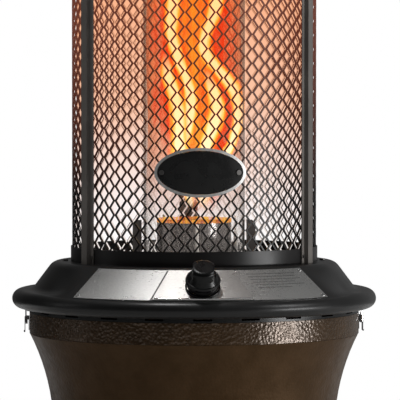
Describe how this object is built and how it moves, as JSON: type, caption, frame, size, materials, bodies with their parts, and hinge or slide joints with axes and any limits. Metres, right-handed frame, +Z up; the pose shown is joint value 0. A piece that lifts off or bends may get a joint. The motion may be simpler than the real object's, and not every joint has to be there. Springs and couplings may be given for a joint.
{
  "type": "glass tube patio heater",
  "caption": "Gas patio heater: round bronze base for a gas bottle, black collar with control panel and knob, glass flame tube in a black mesh guard, hood on top.",
  "frame": {"origin": "on the floor under the tube's axis", "axes": "+Z up, front with the control panel towards -Y, +X to the right as the front is seen"},
  "size_m": [0.5386, 0.5453, 1.2985],
  "materials": {
    "bronze_paint": "hammered",
    "black_paint": "satin",
    "guard_paint": "satin",
    "panel_steel": "brushed",
    "burner_steel": "polished",
    "dark_steel": "satin",
    "chrome": "polished",
    "brass": "turned",
    "rubber": "matte",
    "knob_plastic": "gloss",
    "badge_black": "gloss",
    "ceramic": "glazed",
    "gasket": "woven",
    "clear_glass": "clear"
  },
  "bodies": {
    "base": {"feet": "rubber", "base_plate": "black_paint", "bottle_ring": "black_paint", "base_shell": "bronze_paint", "base_band": "bronze_paint", "wheel_bracket": "black_paint", "wheel_axle": "chrome", "axle_caps": "rubber", "latch_plates": "chrome", "latch_pins": "chrome"},
    "head": {"latch_keepers": "chrome", "collar": "black_paint", "skirt_ring": "black_paint", "deck_plate": "black_paint", "collar_screws": "dark_steel", "panel_plate": "panel_steel", "control_plate": "panel_steel", "panel_rivets": "chrome", "knob_bezel": "knob_plastic", "valve_body": "dark_steel", "gas_pipe": "brass", "gas_jet": "brass", "mixing_tube": "burner_steel", "burner_head": "dark_steel", "burner_drum": "burner_steel", "thermocouple": "brass", "spark_electrode": "ceramic", "tilt_switch": "black_paint", "glass_seat": "dark_steel", "seat_brackets": "dark_steel", "glass_gasket": "gasket", "glass_tube": "clear_glass", "glass_top_ring": "dark_steel", "guard_lower_ring": "guard_paint", "guard_upper_ring": "guard_paint", "guard_post_left": "guard_paint", "guard_post_right": "guard_paint", "guard_post_rear": "guard_paint", "guard_mesh_front": "guard_paint", "guard_mesh_left": "guard_paint", "guard_mesh_right": "guard_paint", "post_screws": "dark_steel", "badge_frame": "chrome", "badge_face": "badge_black", "badge_backing": "dark_steel", "badge_screws": "dark_steel", "top_plate": "black_paint", "hood_standoffs": "dark_steel", "hood": "black_paint", "hood_nuts": "chrome"},
    "valve": {"valve_plug": "brass"},
    "knob": {"control_knob": "knob_plastic", "valve_stem": "brass"},
    "wheel_l": {"wheel_left": "rubber"},
    "wheel_r": {"wheel_right": "rubber"},
    "lever_l": {"latch_lever_left": "chrome"},
    "lever_r": {"latch_lever_right": "chrome"},
    "loop_l": {"latch_loop_left": "chrome"},
    "loop_r": {"latch_loop_right": "chrome"}
  },
  "joints": [
    {"name": "head_lift", "type": "slide", "parent": "base", "child": "head", "axis": [0, 0, 1], "range_m": [0, 0.25]},
    {"name": "knob_turn", "type": "hinge", "parent": "head", "child": "valve", "pos_m": [0, -0.23881, 0.62677], "axis": [0, -0.5919, 0.806], "range_deg": [0, 180]},
    {"name": "knob_push", "type": "slide", "parent": "valve", "child": "knob", "axis": [0, 0.5919, -0.806], "range_m": [0, 0.004], "stiffness_N_per_m": 800},
    {"name": "wheel_left_spin", "type": "hinge", "parent": "base", "child": "wheel_l", "pos_m": [-0.0741, 0.24491, 0.027], "axis": [1, 0, 0], "continuous": true},
    {"name": "wheel_right_spin", "type": "hinge", "parent": "base", "child": "wheel_r", "pos_m": [0.0741, 0.24491, 0.027], "axis": [1, 0, 0], "continuous": true},
    {"name": "lever_left_swing", "type": "hinge", "parent": "base", "child": "lever_l", "pos_m": [-0.24844, 0, 0.57], "axis": [0, 1, 0], "range_deg": [0, 100]},
    {"name": "lever_right_swing", "type": "hinge", "parent": "base", "child": "lever_r", "pos_m": [0.24844, 0, 0.57], "axis": [0, -1, 0], "range_deg": [0, 100]},
    {"name": "loop_left_swing", "type": "hinge", "parent": "lever_l", "child": "loop_l", "pos_m": [-0.24904, 0, 0.5635], "axis": [0, 1, 0], "range_deg": [-150, 0]},
    {"name": "loop_right_swing", "type": "hinge", "parent": "lever_r", "child": "loop_r", "pos_m": [0.24904, 0, 0.5635], "axis": [0, -1, 0], "range_deg": [-150, 0]}
  ],
  "couplings": [
    {"joint": "loop_left_swing", "follows": "lever_left_swing", "ratio": -1.5},
    {"joint": "loop_right_swing", "follows": "lever_right_swing", "ratio": -1.5}
  ]
}
